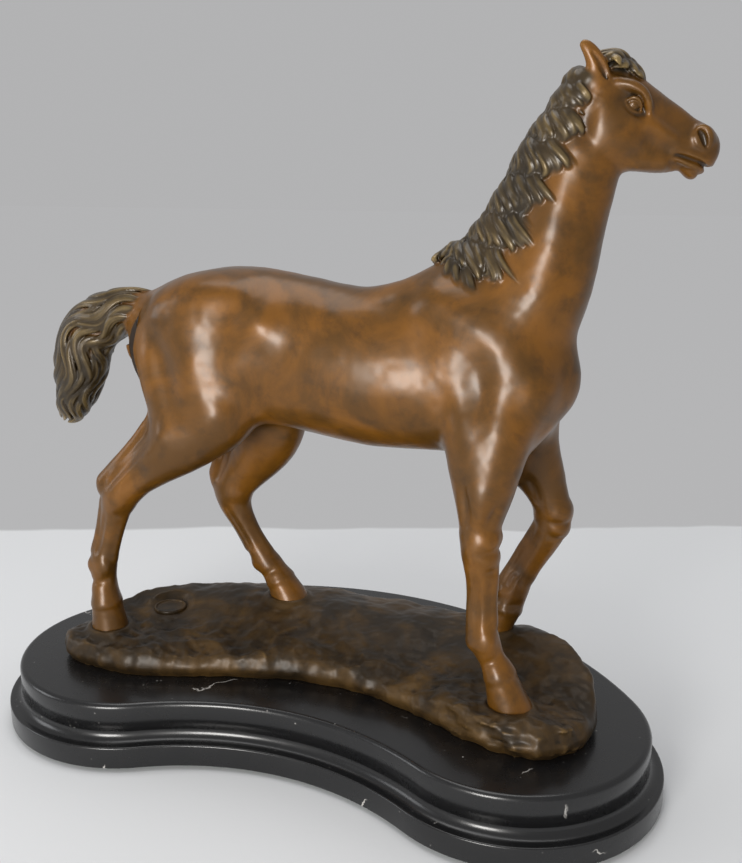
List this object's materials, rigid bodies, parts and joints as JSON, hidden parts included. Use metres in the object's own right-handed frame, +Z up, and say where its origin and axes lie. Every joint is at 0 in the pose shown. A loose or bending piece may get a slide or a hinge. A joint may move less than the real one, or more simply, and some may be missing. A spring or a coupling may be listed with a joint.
{
  "type": "horse statuette",
  "caption": "Walking horse in patinated cast bronze on a rocky cast ground, bolted to a two-tier kidney-shaped black marble plinth with a felt underside.",
  "frame": {"origin": "middle of the underside of the felt, under the middle of the plinth", "axes": "+X the way the horse faces, -Y the horse's right side, +Z up"},
  "size_m": [0.3203, 0.1778, 0.309],
  "materials": {
    "felt": "napped felt",
    "black_marble": "polished, sparse white veins",
    "ground_bronze": "dark brown patina, waxed",
    "horse_bronze": "warm brown patina, waxed and rubbed",
    "hair_bronze": "dark patina with rubbed brassy ridges",
    "steel_fixings": "zinc plated"
  },
  "bodies": {
    "root": {"base_felt": "felt", "marble_plinth": "black_marble", "plinth_studs": "steel_fixings", "plinth_washers": "steel_fixings", "plinth_nuts": "steel_fixings", "ground_casting": "ground_bronze", "stud_bosses": "ground_bronze", "foundry_seal": "ground_bronze", "trunk_casting": "horse_bronze", "neck_head_casting": "horse_bronze", "right_foreleg": "horse_bronze", "left_foreleg": "horse_bronze", "right_hind_leg": "horse_bronze", "left_hind_leg": "horse_bronze", "tail_casting": "hair_bronze", "neck_collar": "horse_bronze", "leg_dowels": "steel_fixings", "tail_dowel": "steel_fixings", "core_plugs": "horse_bronze", "hoof_studs": "steel_fixings", "hoof_washers": "steel_fixings", "hoof_nuts": "steel_fixings"}
  },
  "joints": []
}
